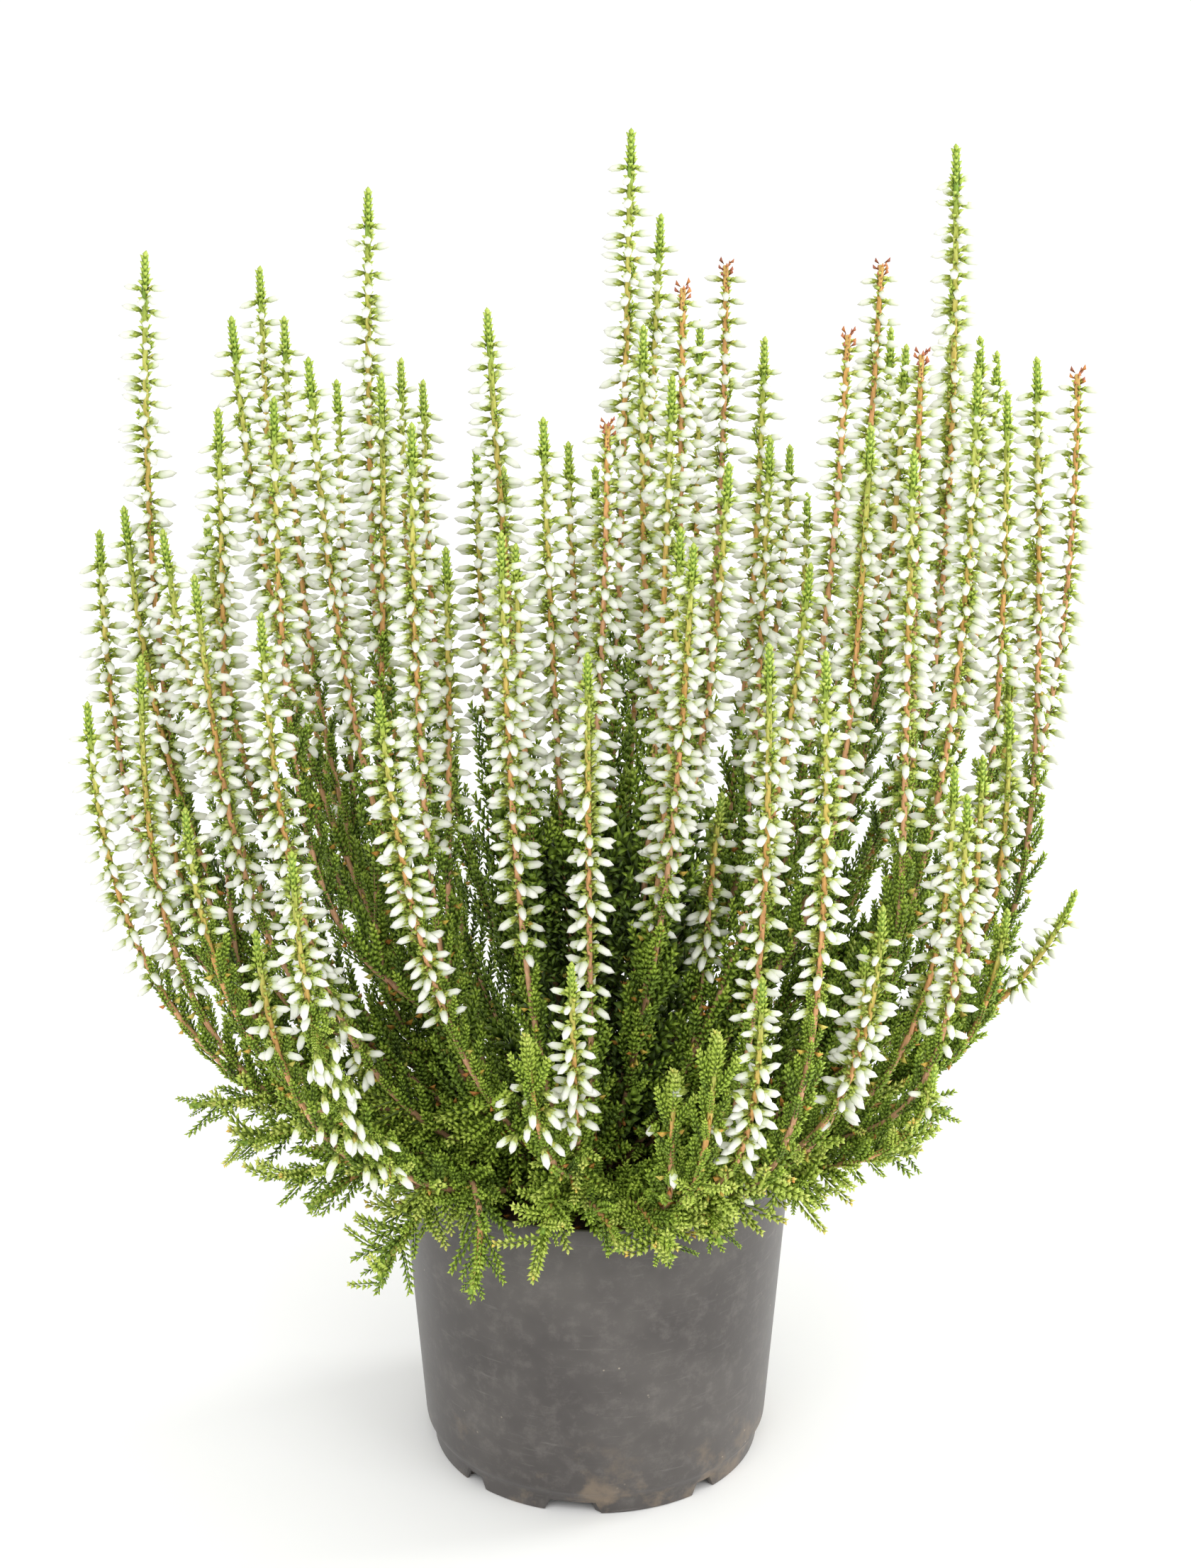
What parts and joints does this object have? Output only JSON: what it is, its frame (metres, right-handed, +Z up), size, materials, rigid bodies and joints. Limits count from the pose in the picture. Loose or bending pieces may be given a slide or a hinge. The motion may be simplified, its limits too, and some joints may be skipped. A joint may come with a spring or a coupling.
{
  "type": "potted heather",
  "caption": "Bushy potted heather with upright racemes of white buds and fine green needle leaves, in a tapered dark grey nursery pot.",
  "frame": {"origin": "centre of the pot's base, on the ground; it is also the bottom centre of the object's box", "axes": "+Z up along the pot's axis, -Y towards the front, +X to the right"},
  "size_m": [0.2701, 0.1983, 0.376],
  "materials": {
    "pot_plastic": "satin moulded plastic, dusty, with fine scratches and earth marks",
    "peat": "coarse dark peat with fibres and crumbs",
    "heather_bloom": "white waxy buds with pale green calyces on slim brown to yellow-green stems",
    "heather_leaf": "matt fresh to dark green scale leaves"
  },
  "bodies": {
    "root": {"pot": "pot_plastic", "soil": "peat", "flower_stem_01": "heather_bloom", "flower_stem_02": "heather_bloom", "flower_stem_03": "heather_bloom", "flower_stem_04": "heather_bloom", "flower_stem_05": "heather_bloom", "flower_stem_06": "heather_bloom", "flower_stem_07": "heather_bloom", "flower_stem_08": "heather_bloom", "flower_stem_09": "heather_bloom", "flower_stem_10": "heather_bloom", "flower_stem_11": "heather_bloom", "flower_stem_12": "heather_bloom", "flower_stem_13": "heather_bloom", "flower_stem_14": "heather_bloom", "flower_stem_15": "heather_bloom", "flower_stem_16": "heather_bloom", "flower_stem_17": "heather_bloom", "flower_stem_18": "heather_bloom", "flower_stem_19": "heather_bloom", "flower_stem_20": "heather_bloom", "flower_stem_21": "heather_bloom", "flower_stem_22": "heather_bloom", "flower_stem_23": "heather_bloom", "flower_stem_24": "heather_bloom", "flower_stem_25": "heather_bloom", "flower_stem_26": "heather_bloom", "flower_stem_27": "heather_bloom", "flower_stem_28": "heather_bloom", "flower_stem_29": "heather_bloom", "flower_stem_30": "heather_bloom", "flower_stem_31": "heather_bloom", "flower_stem_32": "heather_bloom", "flower_stem_33": "heather_bloom", "flower_stem_34": "heather_bloom", "flower_stem_35": "heather_bloom", "flower_stem_36": "heather_bloom", "flower_stem_37": "heather_bloom", "flower_stem_38": "heather_bloom", "flower_stem_39": "heather_bloom", "flower_stem_40": "heather_bloom", "flower_stem_41": "heather_bloom", "flower_stem_42": "heather_bloom", "flower_stem_43": "heather_bloom", "flower_stem_44": "heather_bloom", "flower_stem_45": "heather_bloom", "flower_stem_46": "heather_bloom", "flower_stem_47": "heather_bloom", "flower_stem_48": "heather_bloom", "flower_stem_49": "heather_bloom", "flower_stem_50": "heather_bloom", "flower_stem_51": "heather_bloom", "leaf_spray_01": "heather_leaf", "leaf_spray_02": "heather_leaf", "leaf_spray_03": "heather_leaf", "leaf_spray_04": "heather_leaf", "leaf_spray_05": "heather_leaf", "leaf_spray_06": "heather_leaf", "leaf_spray_07": "heather_leaf"}
  },
  "joints": []
}
